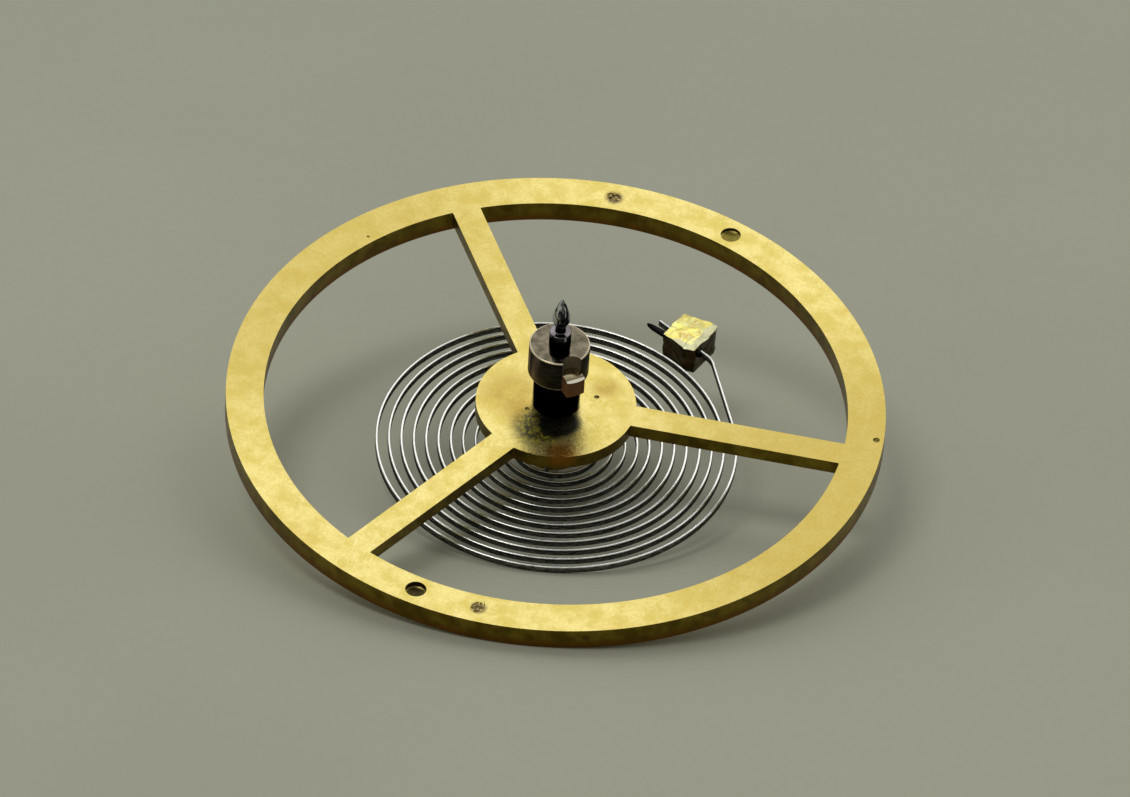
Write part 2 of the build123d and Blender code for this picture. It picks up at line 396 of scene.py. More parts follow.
def scratch_group():
    """Hair-fine scratches that cross each other, as thin lines from 0 to 1."""
    group, entry, leave = new_group(
        "scratches",
        [("Place", "Vector", (0, 0, 0)), ("Fineness", "Float", 1.0), ("Width", "Float", 0.02)],
        [("Lines", "Float")],
    )
    tree = Tree(group)
    total = None
    for turn, stretch in ((0.5, (9.0, 0.6, 1.0)), (1.9, (11.0, 0.5, 1.0)), (2.7, (8.0, 0.7, 1.0))):
        rotate = tree.nodes.new("ShaderNodeMapping")
        rotate.inputs["Rotation"].default_value = (0, 0, turn)
        rotate.inputs["Scale"].default_value = stretch
        tree.feed(rotate.inputs["Vector"], entry.outputs["Place"])
        wander = tree.noise(rotate.outputs["Vector"], entry.outputs["Fineness"], detail=1.0)
        away = tree.math("ABSOLUTE", tree.math("SUBTRACT", wander, 0.5))
        line = tree.range(away, 0.0, entry.outputs["Width"], 1.0, 0.0)
        total = line if total is None else tree.math("MAXIMUM", total, line)
    broken = tree.noise(entry.outputs["Place"], entry.outputs["Fineness"], detail=2.0)
    tree.feed(leave.inputs["Lines"], tree.math("MULTIPLY", total, tree.range(broken, 0.5, 0.62)))
    return group


def wear_highlight_group():
    """Rubbed edges with their painted highlight: the worn faces of a piece, broken up so that the rubbing
    isn't even.
    """
    group, entry, leave = new_group(
        "wear_highlight",
        [("Place", "Vector", (0, 0, 0)), ("Worn", "Float", 0.0), ("Fineness", "Float", 3.0)],
        [("Mask", "Float")],
    )
    tree = Tree(group)
    uneven = tree.noise(entry.outputs["Place"], entry.outputs["Fineness"], detail=3.0)
    share = tree.range(uneven, 0.25, 0.6, 0.5, 1.0)
    tree.feed(leave.inputs["Mask"], tree.math("MULTIPLY", entry.outputs["Worn"], share))
    return group


grain = grain_group()
turning = turning_group()
tarnish = tarnish_group()
scratches = scratch_group()
wear_highlight = wear_highlight_group()


def matt_where_masked(tree, shader, rubbed_highlight, share=0.75):
    """Makes the metal matt where a mask is: on rubbed edges this lets their painted highlight show from
    every side.
    """
    bare = tree.math("SUBTRACT", 1.0, tree.math("MULTIPLY", rubbed_highlight, share))
    tree.feed(shader.inputs["Metallic"], bare)


def new_material(name, metallic=1.0, roughness=0.3):
    """A material with a metal shader, its tree and the place on the piece in millimetres."""
    material = bpy.data.materials.new(name)
    material.use_nodes = True
    tree = Tree(material.node_tree)
    shader = material.node_tree.nodes["Principled BSDF"]
    shader.inputs["Metallic"].default_value = metallic
    shader.inputs["Roughness"].default_value = roughness
    where = tree.nodes.new("ShaderNodeTexCoord")
    scale = tree.nodes.new("ShaderNodeMapping")
    scale.inputs["Scale"].default_value = (1 / MM, 1 / MM, 1 / MM)
    tree.feed(scale.inputs["Vector"], where.outputs["Object"])
    return material, tree, shader, scale.outputs["Vector"]


# Marks in the wheel's upper face
# Drilled dimples: radius of the circle that they lie on, angle, drill radius, depth
dark_dimple = (8.45, 255.4, 0.29, 0.17)
olive_dimple = (8.45, 67.3, 0.28, 0.11)
drill_point = 0.10
# Centre punch marks, each a cluster of small pits: circle radius, angle, size
punch_marks = ((8.44, 91.0, 0.22), (8.46, -92.3, 0.20))
punch_pits = 9
# Single pits: circle radius, angle, radius
single_pits = ((8.795, 5.0, 0.09), (1.14, 24.8, 0.07), (0.84, 213.0, 0.06), (8.2, 141.0, 0.04))
# Sides of the wheel's upper face painted darker, as painted shade where the turned brass catches less light:
# angle, share
shaded_sides = ((-12.0, 0.75), (155.0, 0.6))
# Darker patches on the hub: place, radius
hub_patches = ((-1.25, 0.05, 1.2), (-0.75, -0.75, 0.8), (1.2, 0.9, 0.6))
# Painted shadow and reflection of the staff's column in the hub: greenish and dark in front of the
# staff's foot, black in its middle, and orange at the hub's front edge: place, radius
column_reflection = (-0.16, -1.08, 1.05)
column_reflection_core = (0.24, -0.80, 0.72)
column_reflection_edge = (0.55, -1.95, 0.6)
# Height above the rim's lower edge up to which its wall is painted brown, a painted reflection of the paper
# below
floor_reflection_height = 0.35


def wheel_spot(tree, place, spot, softness):
    """A mask for a round spot on the wheel's upper face, given as place and radius."""
    x, y, radius = spot
    return tree.near(place, (x, y, wheel_top), radius, softness)


def wheel_brass():
    material, tree, shader, place = new_material("wheel_brass")
    mottle = tree.group(grain, Place=place, Fineness=1.9)
    fine = tree.group(grain, Place=place, Fineness=11.0)
    rings = tree.group(turning, Place=place, Fineness=24.0, Waver=1.5)["Height"]
    broad = tree.group(tarnish, Place=place, Patch=0.5, Cover=0.5)
    moved = tree.vector("ADD", place, (31.0, 7.0, 2.0))
    greens = tree.group(tarnish, Place=moved, Patch=1.5, Cover=0.42)
    lines = tree.group(scratches, Place=place, Fineness=0.8, Width=0.012)["Lines"]
    rubbed_highlight = tree.group(wear_highlight, Place=place, Worn=tree.mark("worn_highlight"), Fineness=1.5)["Mask"]
    wall = tree.mark("wall")
    height = tree.part(place, "Z")

    top = tree.mix(mottle["Mask"], shade(202, 184, 98), shade(222, 206, 132))
    top = tree.cover(top, 0.30, fine["Mask"], shade(208, 186, 96))
    top = tree.cover(top, 0.35, broad["Mask"], shade(206, 176, 84))
    top = tree.cover(top, 0.40, greens["Mask"], shade(186, 178, 78))
    top = tree.cover(top, 0.2, greens["Specks"], shade(150, 122, 52))
    top = tree.cover(top, 0.35, lines, shade(250, 236, 178))
    # Painted shade: the upper face darkens towards each of these two sides.
    for angle, share in shaded_sides:
        aside = tree.vector("DISTANCE", place, turned(wheel_radius, angle, wheel_top))
        side_shade = tree.range(aside, 3.0, 9.0, 1.0, 0.0)
        top = tree.cover(top, share, side_shade, shade(176, 154, 76))
    uneven = tree.range(mottle["Height"], 0.3, 0.6, 0.35, 1.0)
    for spot in hub_patches:
        patch = tree.math("MULTIPLY", wheel_spot(tree, place, spot, 0.8), uneven)
        top = tree.cover(top, 0.8, patch, shade(168, 138, 58))

    # The walls are painted darker than the upper face: painted shade, as they mirror the shaded paper. Their
    # green tarnish is the brass's own.
    side = tree.mix(mottle["Mask"], shade(104, 86, 24), shade(140, 120, 40))
    side = tree.cover(side, 0.7, greens["Mask"], shade(70, 54, 20))
    # Painted reflection: the rim's wall turns brown towards its lower edge.
    low = tree.range(height, wheel_low.z, wheel_low.z + floor_reflection_height, 1.0, 0.0)
    low = tree.math("MULTIPLY", low, tree.range(mottle["Height"], 0.3, 0.6, 0.3, 1.0))
    side = tree.cover(side, 0.8, low, shade(120, 66, 22))
    colour = tree.mix(wall, top, side)
    # Rubbed edges: painted highlight, near white.
    colour = tree.cover(colour, 0.95, rubbed_highlight, shade(255, 248, 208))

    # Painted shade inside the drilled dimples and the pits.
    below = tree.range(height, wheel_top - 0.05, wheel_top - 0.01, 1.0, 0.0)
    for (reach, angle, radius, depth), hollow_shade in (
        (dark_dimple, shade(34, 26, 12)), (olive_dimple, shade(112, 100, 40)),
    ):
        inside = tree.near(place, turned(reach, angle, wheel_top - depth), radius * 1.12)
        colour = tree.cover(colour, 0.92, tree.math("MULTIPLY", inside, below), hollow_shade)
    for reach, angle, size in punch_marks:
        spot = tree.near(place, turned(reach, angle, wheel_top), size * 1.5, 0.6)
        pit_shade = tree.math("MULTIPLY", spot, tree.range(fine["Height"], 0.3, 0.46))
        colour = tree.cover(colour, 0.9, pit_shade, shade(84, 66, 44))
    for reach, angle, radius in single_pits:
        spot = tree.near(place, turned(reach, angle, wheel_top), radius * 1.3, 0.4)
        colour = tree.cover(colour, 0.8, spot, shade(104, 92, 34))
    # Painted shadow and reflection of the staff's column on the hub, in greenish, black and orange.
    foot = wheel_spot(tree, place, column_reflection, 0.6)
    ragged = tree.range(tree.noise(place, 2.6, detail=4.0), 0.3, 0.46)
    specks = tree.noise(place, 5.0, detail=6.0, roughness=0.75, distortion=0.6)
    reflection_tint = tree.mix(tree.range(specks, 0.46, 0.62), shade(30, 32, 8), shade(164, 156, 36))
    reflected_column = tree.math("MULTIPLY", foot, ragged)
    colour = tree.cover(colour, 0.95, reflected_column, reflection_tint)
    reflection_core = wheel_spot(tree, place, column_reflection_core, 0.35)
    colour = tree.cover(colour, 0.98, reflection_core, shade(5, 5, 2))
    reflected_column = tree.math("MAXIMUM", tree.math("MULTIPLY", reflected_column, 0.7), reflection_core)
    colour = tree.cover(colour, 0.8, wheel_spot(tree, place, column_reflection_edge, 0.8), shade(196, 126, 40))
    tree.feed(shader.inputs["Base Color"], colour)

    matt_where_masked(tree, shader, tree.math("MAXIMUM", rubbed_highlight, reflected_column))
    rough = tree.range(fine["Height"], 0.3, 0.7, 0.24, 0.34)
    rough = tree.math("ADD", rough, tree.math("MULTIPLY", broad["Mask"], 0.06))
    rough = tree.math("ADD", rough, tree.math("MULTIPLY", wall, 0.08))
    tree.feed(shader.inputs["Roughness"], rough)
    swell = tree.bump(mottle["Height"], 0.010)
    turned_face = tree.bump(rings, 0.0035, swell)
    scored = tree.math("SUBTRACT", fine["Height"], tree.math("MULTIPLY", lines, 0.3))
    tree.feed(shader.inputs["Normal"], tree.bump(scored, 0.0012, turned_face))
    return material


def plain_metal(name, dark, light, rubbed_highlight, wall, roughness, fineness=6.0, depth=0.002,
                rubbed_highlight_matt=0.0, wall_roughness=0.0, wall_matt=0.0):
    """A turned, drawn or filed metal: two close colours, a darker wall colour for painted shade, tarnish,
    and rubbed edges with a painted highlight.
    """
    material, tree, shader, place = new_material(name)
    shader.inputs["Specular Tint"].default_value = (0.3, 0.3, 0.3, 1)
    fine = tree.group(grain, Place=place, Stretch=(1, 1, 5), Fineness=fineness)
    patches = tree.group(tarnish, Place=place, Patch=1.3, Cover=0.45)
    edges, walls = tree.mark("worn_highlight"), tree.mark("wall")
    if rubbed_highlight_matt == 0:
        edges = tree.group(wear_highlight, Place=place, Worn=edges, Fineness=3.0)["Mask"]
    colour = tree.mix(fine["Mask"], dark, light)
    colour = tree.cover(colour, 0.4, patches["Mask"], dark)
    streaks = tree.math("MULTIPLY", fine["Mask"], 0.25)
    # Walls take the wall colour: painted shade.
    colour = tree.cover(colour, 0.95, walls, tree.mix(streaks, wall, dark))
    # Rubbed edges: painted highlight in the rubbed colour.
    colour = tree.mix(edges, colour, rubbed_highlight)
    matt = tree.math("MULTIPLY", edges, rubbed_highlight_matt)
    matt = tree.math("ADD", matt, tree.math("MULTIPLY", walls, wall_matt))
    matt_where_masked(tree, shader, matt, 1.0)
    tree.feed(shader.inputs["Base Color"], colour)
    rough = tree.range(fine["Height"], 0.3, 0.7, roughness * 0.8, roughness * 1.3)
    rough = tree.math("ADD", rough, tree.math("MULTIPLY", walls, wall_roughness))
    tree.feed(shader.inputs["Roughness"], rough)
    tree.feed(shader.inputs["Normal"], tree.bump(fine["Height"], depth))
    return material, tree, shader, place, colour


def staff_steel():
    """Black staff, with painted highlights: bright stripes on its two pivots and a lighter top on its upper
    shoulder.
    """
    material, tree, shader, place, colour = plain_metal(
        "staff_steel", shade(8, 8, 9), shade(14, 14, 16), shade(58, 56, 54), shade(7, 7, 8), 0.08,
        depth=0.0004,
    )
    height = tree.part(place, "Z")
    upper = tree.range(height, roller_high.z + 0.25, roller_high.z + 0.4)
    lower = tree.range(height, collet_low.z - 0.12, collet_low.z - 0.04, 1.0, 0.0)
    pivots = tree.math("MAXIMUM", upper, lower)
    # Painted highlight: bright stripes down the pivots.
    streak = tree.group(grain, Place=place, Stretch=(2.6, 2.6, 0.3), Fineness=1.0)["Height"]
    glint = tree.range(streak, 0.5, 0.56)
    colour = tree.cover(colour, 0.95, pivots, tree.mix(glint, shade(40, 42, 46), shade(226, 230, 238)))
    # Painted highlight on the upper shoulder's top face.
    shoulder = tree.near(place, (0, 0, staff_high.z - shoulder_depth), 0.33, 0.05)
    flat_on_top = tree.math("SUBTRACT", 1.0, tree.mark("wall"))
    colour = tree.cover(colour, 0.9, tree.math("MULTIPLY", shoulder, flat_on_top), shade(112, 106, 106))
    tree.feed(shader.inputs["Base Color"], colour)
    return material


def roller_steel():
    """Grey-brown drum: mirror-polished on top and in the hollow, its wall painted dark as painted shade."""
    material, tree, shader, place, colour = plain_metal(
        "roller_steel", shade(82, 77, 63), shade(122, 114, 96), shade(228, 212, 180),
        shade(12, 11, 7), 0.09, fineness=3.0, depth=0.001,
        rubbed_highlight_matt=0.6, wall_roughness=0.3, wall_matt=0.4,
    )
    flat = tree.vector("MULTIPLY", place, (1, 1, 0))
    hollow = tree.near(flat, turned(roller_radius, finger_angle), hollow_radius * 1.08, 0.1)
    colour = tree.cover(colour, 0.9, hollow, shade(146, 136, 110))
    # Painted reflection: pinkish-brown streaks on the left of the wall.
    streak = tree.group(grain, Place=place, Stretch=(3, 3, 0.5), Fineness=1.6)["Mask"]
    outside = tree.range(tree.part(place, "X"), -0.25, -0.7)
    left_reflection = tree.math("MULTIPLY", tree.math("MULTIPLY", tree.mark("wall"), streak), outside)
    colour = tree.mix(left_reflection, colour, shade(158, 132, 112))
    tree.feed(shader.inputs["Base Color"], colour)
    return material


def stud_brass():
    """Filed brass: upper facets painted paler than the wheel's brass as painted light, orange painted shade
    in the creases, and dark olive and brown walls as painted shade.
    """
    material, tree, shader, place = new_material("stud_brass")
    fine = tree.group(grain, Place=place, Fineness=4.0)
    broad = tree.group(tarnish, Place=place, Patch=2.2, Cover=0.5)
    wander = tree.noise(place, 1.7, detail=2.0, distortion=1.2)
    fold = tree.range(tree.math("ABSOLUTE", tree.math("SUBTRACT", wander, 0.5)), 0.0, 0.05, 1.0, 0.0)
    fold = tree.math("MULTIPLY", fold, tree.range(fine["Height"], 0.4, 0.6))
    # Painted light: the top is paler and brighter than the wheel's brass.
    top = tree.mix(fine["Mask"], shade(255, 240, 128), shade(255, 252, 180))
    top = tree.cover(top, 0.55, broad["Mask"], shade(252, 212, 90))
    # Painted shade: orange in the creases.
    top = tree.cover(top, 0.6, fold, shade(238, 180, 76))
    # Painted shade: the walls are dark olive and brown.
    side = tree.mix(fine["Mask"], shade(42, 34, 14), shade(74, 58, 28))
    side = tree.cover(side, 0.5, broad["Mask"], shade(112, 80, 58))
    colour = tree.mix(tree.mark("wall"), top, side)
    edges = tree.mark("worn_highlight")
    # Rubbed edges and facets: painted highlight, near white.
    colour = tree.cover(colour, 0.95, edges, shade(255, 252, 200))
    matt_where_masked(tree, shader, edges)
    tree.feed(shader.inputs["Base Color"], colour)
    tree.feed(shader.inputs["Roughness"], tree.range(fine["Height"], 0.3, 0.7, 0.32, 0.5))
    filed = tree.group(grain, Place=place, Stretch=(7, 2, 3), Fineness=2.4)["Height"]
    dented = tree.bump(fold, 0.012)
    tree.feed(shader.inputs["Normal"], tree.bump(filed, 0.006, dented))
    return material


# Sizes that both the finishes and the pieces use
shoulder_depth = 1.15
roller_radius = 0.83
hollow_radius = 0.27
finger_angle = -52.6

materials = {
    "wheel_brass": wheel_brass(),
    "staff_steel": staff_steel(),
    "roller_steel": roller_steel(),
    # The finger's walls are painted brown-orange: painted reflection of the brass wheel. Its rubbed lip is a
    # painted highlight.
    "finger_steel": plain_metal(
        "finger_steel", shade(118, 108, 84), shade(150, 138, 108), shade(255, 248, 226),
        shade(116, 70, 40), 0.12, fineness=3.0, rubbed_highlight_matt=0.9, wall_roughness=0.25, wall_matt=0.6,
    )[0],
    # The strip's walls are painted near black as painted shade, while its upper edges keep the light steel
    # colour.
    "spring_steel": plain_metal(
        "spring_steel", shade(216, 216, 210), shade(236, 236, 230), shade(244, 244, 238),
        shade(14, 14, 16), 0.22, depth=0.001, wall_roughness=0.1,
    )[0],
    "collet_brass": plain_metal(
        "collet_brass", shade(196, 168, 84), shade(222, 198, 114), shade(244, 226, 160),
        shade(168, 142, 66), 0.28,
    )[0],
    "pin_steel": plain_metal(
        "pin_steel", shade(34, 33, 34), shade(56, 54, 54), shade(150, 146, 138),
        shade(30, 29, 30), 0.2,
    )[0],
    "stud_brass": stud_brass(),
}


# Wheel: rim, three arms and hub, sawn from one plate
rim_width = 1.03
hub_radius = 2.19
arm_width = 0.79
arm_thickness = 0.40
arm_count = 3
seat_radius = 0.55
corner_round = 0.12
lip_round = 0.05
rim_steps = 360
hub_steps = 144
arm_bottom = wheel_top - arm_thickness


def wheel_form():
    inner = wheel_radius - rim_width
    wheel = bmesh.new()
    section = [
        (inner, wheel_low.z), (wheel_radius, wheel_low.z),
        (wheel_radius, wheel_top), (inner, wheel_top),
    ]
    spin_outline(wheel, section, rim_steps, closed=True)
    for index in range(arm_count):
        low = (0, -arm_width / 2, arm_bottom)
        high = (inner + rim_width / 2, arm_width / 2, wheel_top)
        wheel = combine(wheel, block(low, high, 360 * index / arm_count), "UNION")
    hub = cylinder(Vector((0, 0, arm_bottom)), upwards, hub_radius, arm_thickness, hub_steps)
    wheel = combine(wheel, hub, "UNION")
    seat = cylinder(Vector((0, 0, arm_bottom - 1)), upwards, seat_radius, arm_thickness + 2, hub_steps)
    wheel = combine(wheel, seat, "DIFFERENCE")
    bmesh.ops.dissolve_limit(wheel, angle_limit=math.radians(0.2), verts=wheel.verts, edges=wheel.edges)
    inside = [
        edge for edge in sharp_edges(wheel, 30)
        if abs(edge.verts[0].co.z - edge.verts[1].co.z) > arm_thickness / 2
        and not edge.is_convex and edge.verts[0].co.xy.length > seat_radius * 1.5
    ]
    round_edges(wheel, inside, corner_round, 5, 0.0)
    round_edges(wheel, sharp_edges(wheel, 45), lip_round, 3)
    return wheel


def dimple_drill(reach, angle, radius, depth):
    """What the drill takes away, with its shallow point."""
    drill = bmesh.new()
    outline = [(0, -depth - drill_point), (radius, -depth), (radius, depth), (0, depth)]
    spin_outline(drill, outline, 40)
    bmesh.ops.translate(drill, vec=turned(reach, angle, wheel_top), verts=drill.verts)
    return drill


def pit_places():
    """Small pits, close together where a punch has struck more than once: each place and radius."""
    rng = random.Random(7)
    places = []
    for reach, angle, size in punch_marks:
        for _ in range(punch_pits):
            away = turned(size * rng.random() ** 0.7, rng.uniform(0, 360))
            places.append((turned(reach, angle, wheel_top) + away, rng.uniform(0.25, 0.45) * size))
    for reach, angle, radius in single_pits:
        places.append((turned(reach, angle, wheel_top), radius))
    return places


def rough_pit(place, radius):
    """What a blow takes away: a flattened ball with uneven walls."""
    pit = bmesh.new()
    bmesh.ops.create_icosphere(pit, subdivisions=2, radius=radius)
    for corner in pit.verts:
        corner.co *= 1 + 0.35 * noise.noise(corner.co * 9 + place)
    bmesh.ops.scale(pit, vec=(1, 1, 0.6), verts=pit.verts)
    bmesh.ops.translate(pit, vec=place + upwards * radius * 0.1, verts=pit.verts)
    return pit


def build_wheel():
    form = wheel_form()
    for dimple in (dark_dimple, olive_dimple):
        form = combine(form, dimple_drill(*dimple), "DIFFERENCE")
    for place, radius in pit_places():
        form = combine(form, rough_pit(place, radius), "DIFFERENCE")
    finish_piece(form, "wheel", "balance", "wheel_brass", ["balance_wheel"])


# Staff: one turning, from the lower pivot's tip upwards
# Both pivots: radius, and distance from the tip
pivot_outline = (
    (0.0, 0.0), (0.022, 0.0), (0.06, 0.08), (0.115, 0.20), (0.165, 0.35), (0.205, 0.50),
    (0.23, 0.63), (0.235, 0.71), (0.23, 0.78), (0.16, 0.89), (0.14, 0.99), (0.14, shoulder_depth),
)
lower_pivot_share = 1.12 / shoulder_depth
shoulder_radius = 0.30
body_radius = 0.50
rivet_radius = 0.65
rivet_depth = 0.10
collet_bore = 0.40
roller_bore = 0.45
roller_cap = 0.12
staff_edge_round = 0.02


def build_staff():
    form = bmesh.new()
    outline = [(radius, staff_low.z + away * lower_pivot_share) for radius, away in pivot_outline]
    outline += [
        (shoulder_radius, staff_low.z + shoulder_depth * lower_pivot_share),
        (shoulder_radius, collet_low.z),
        (collet_bore, collet_low.z), (collet_bore, collet_high.z),
        (body_radius, collet_high.z), (body_radius, arm_bottom - rivet_depth),
        (rivet_radius, arm_bottom - rivet_depth), (rivet_radius, arm_bottom),
        (seat_radius, arm_bottom), (seat_radius, wheel_top),
        (rivet_radius, wheel_top), (rivet_radius, roller_low.z),
        (roller_bore, roller_low.z), (roller_bore, roller_high.z - roller_cap),
        (shoulder_radius, roller_high.z - roller_cap),
        (shoulder_radius, staff_high.z - shoulder_depth),
    ]
    outline += [(radius, staff_high.z - away) for radius, away in reversed(pivot_outline)]
    spin_outline(form, outline, 96)
    round_edges(form, sharp_edges(form, 40), staff_edge_round, 3)
    finish_piece(form, "staff", "balance", "staff_steel", ["balance_staff"])


# Roller and finger
finger_reach = 1.13
finger_width = 0.53
finger_clearance = 0.005
roller_edge_round = 0.035
finger_edge_round = 0.03
# The lip at the finger's upper front edge, painted bright as a rubbed edge with a painted highlight: its
# width, and the way it faces
lip_width = 0.09
lip_facing = (0.45, 0, 1)


def build_roller():
    form = bmesh.new()
    cap_floor = roller_high.z - roller_cap
    outline = [
        (roller_bore, roller_low.z), (roller_radius, roller_low.z), (roller_radius, roller_high.z),
        (shoulder_radius, roller_high.z), (shoulder_radius, cap_floor), (roller_bore, cap_floor),
    ]
    spin_outline(form, outline, 160, closed=True)
    outer = [edge for edge in sharp_edges(form, 40) if edge.verts[0].co.xy.length > body_radius]
    round_edges(form, outer, roller_edge_round, 3)
    hollow_floor = turned(roller_radius, finger_angle, finger_high.z)
    form = combine(form, cylinder(hollow_floor, upwards, hollow_radius, 2, 64), "DIFFERENCE")
    low = (0, -finger_width / 2, roller_low.z - 1)
    high = (finger_reach * 2, finger_width / 2, finger_high.z)
    form = combine(form, block(low, high, finger_angle), "DIFFERENCE")
    finish_piece(form, "roller", "balance", "roller_steel", ["safety_roller"])


def build_finger():
    form = bmesh.new()
    back = roller_bore + finger_clearance
    outline = [
        (back, finger_low.z), (finger_reach, finger_low.z),
        (finger_reach, finger_high.z), (back, finger_high.z),
    ]
    spin_outline(form, outline, 256, closed=True)
    low = (0.1, -finger_width / 2, finger_low.z - 1)
    keep = block(low, (finger_reach * 2, finger_width / 2, finger_high.z + 1))
    form = combine(form, keep, "INTERSECT")
    bmesh.ops.dissolve_limit(form, angle_limit=math.radians(0.5), verts=form.verts, edges=form.edges)
    front = [
        edge for edge in sharp_edges(form, 40)
        if min(corner.co.x for corner in edge.verts) > roller_radius
    ]
    lip = [edge for edge in front if min(corner.co.z for corner in edge.verts) > finger_high.z - 0.01]
    slice_off(form, (finger_reach - lip_width, 0, finger_high.z), lip_facing, 1.0)
    others = [edge for edge in front if edge.is_valid and edge not in lip]
    round_edges(form, others, finger_edge_round, 2, 0.0)
    turn_round(form, finger_angle)
    finish_piece(form, "finger", "balance", "finger_steel", ["impulse_finger"])


# Collet and the pins
collet_radius = 0.90
collet_slit = 0.10
collet_edge_round = 0.05
pin_hole_radius = 0.13
pin_hole_length = 2.4
pin_hole_offset = 0.64
pin_radius = 0.125
pin_clearance = 0.005
# How far each pin's thin and thick end lie from the middle of its hole
collet_pin_ends = (0.66, 0.86)
stud_pin_ends = (1.28, 0.60)


def build_collet():
    form = bmesh.new()
    outline = [
        (collet_bore, collet_low.z), (collet_radius, collet_low.z),
        (collet_radius, collet_high.z), (collet_bore, collet_high.z),
    ]
    spin_outline(form, outline, 128, closed=True)
    round_edges(form, sharp_edges(form, 40), collet_edge_round, 3)
    slit = block((-collet_slit / 2, -2, collet_low.z - 1), (collet_slit / 2, 0, collet_high.z + 1))
    form = combine(form, slit, "DIFFERENCE")
    hole_start = Vector((-pin_hole_length / 2, pin_hole_offset, strip_middle))
    hole = cylinder(hole_start, Vector((1, 0, 0)), pin_hole_radius, pin_hole_length, 32)
    form = combine(form, hole, "DIFFERENCE")
    finish_piece(form, "collet", "balance", "collet_brass", ["hairspring_collet"])


def taper_pin(thin_end, thick_end, place, along, to_strip):
    """A round pin that tapers to a point, with a flat filed where it bears on the strip."""
    form = bmesh.new()
    outline = [
        (0, -thick_end), (pin_radius * 0.8, -thick_end), (pin_radius, 0.04 - thick_end),
        (pin_radius * 0.95, thin_end * 0.5), (pin_radius * 0.8, thin_end - 0.22),
        (pin_radius * 0.5, thin_end - 0.06), (pin_radius * 0.15, thin_end), (0, thin_end),
    ]
    spin_outline(form, outline, 28)
    slice_off(form, (-pin_clearance, 0, 0), (1, 0, 0))
    turn = Matrix((to_strip, along.cross(to_strip), along)).transposed().to_4x4()
    bmesh.ops.transform(form, matrix=Matrix.Translation(place) @ turn, verts=form.verts)
    return form


# Hairspring: a strip wound outwards from the collet to the stud, anticlockwise from above
strip_thickness = 0.072
strip_height = spring_high.z - spring_low.z
edge_round = 0.014
# How far out the strip first and last crosses the X axis
first_coil = 1.11
last_coil = 5.00
half_turns = 23
strip_offset = pin_hole_offset + strip_thickness / 2
inner_tail = 0.50
outer_arc_turn = 24.06
stud_bend_radius = 0.60
strip_waver = 0.020


class Strip:
    """A strip drawn forward from its inner end, by straight runs and by bends to the left."""

    def __init__(self, place, heading):
        self.form = bmesh.new()
        self.place = Vector(place)
        self.heading = heading
        half, tall, cut = strip_thickness / 2, strip_height / 2, edge_round
        section = [
            (-half, cut - tall), (-half, tall - cut), (cut - half, tall), (half - cut, tall),
            (half, tall - cut), (half, cut - tall), (half - cut, -tall), (cut - half, -tall),
        ]
        left = turned(1, heading + 90)
        corners = [
            self.form.verts.new(self.place + left * across + upwards * up) for across, up in section
        ]
        self.edges = [self.form.edges.new(pair) for pair in zip(corners, corners[1:] + corners[:1])]
        self.form.faces.new(corners)

    def run(self, length, pieces=1):
        step = turned(length / pieces, self.heading)
        for _ in range(pieces):
            made = bmesh.ops.extrude_edge_only(self.form, edges=self.edges)["geom"]
            corners = [item for item in made if isinstance(item, bmesh.types.BMVert)]
            bmesh.ops.translate(self.form, vec=step, verts=corners)
            self.edges = [
                item for item in made
                if isinstance(item, bmesh.types.BMEdge) and all(v in corners for v in item.verts)
            ]
            self.place += step

    def bend(self, radius, turn, steps):
        centre = self.place + turned(radius, self.heading + 90)
        corners = list({corner for edge in self.edges for corner in edge.verts})
        made = bmesh.ops.spin(
            self.form, geom=corners + self.edges, cent=centre, axis=(0, 0, 1),
            angle=math.radians(turn), steps=steps, use_duplicate=False,
        )["geom_last"]
        self.edges = [item for item in made if isinstance(item, bmesh.types.BMEdge)]
        self.place = centre + turned(radius, self.heading - 90 + turn)
        self.heading += turn

    def close(self):
        bmesh.ops.contextual_create(self.form, geom=self.edges)
        bmesh.ops.recalc_face_normals(self.form, faces=self.form.faces)


def crossing(index):
    """Where the strip crosses the X axis: left for even numbers, right for odd ones."""
    side = 1 if index % 2 else -1
    return side * (first_coil + (last_coil - first_coil) * index / half_turns)


def waver(form):
    """Moves the free turns in and out a little, as hand-set turns are never quite even."""
    for corner in form.verts:
        flat = corner.co.to_2d()
        reach = flat.length
        if first_coil + 0.2 < reach < last_coil - 0.1:
            heading = flat.normalized()
            sway = noise.noise(Vector((heading.x * 1.6, heading.y * 1.6, reach * 2.2)))
            corner.co += Vector((heading.x, heading.y, 0)) * sway * strip_waver


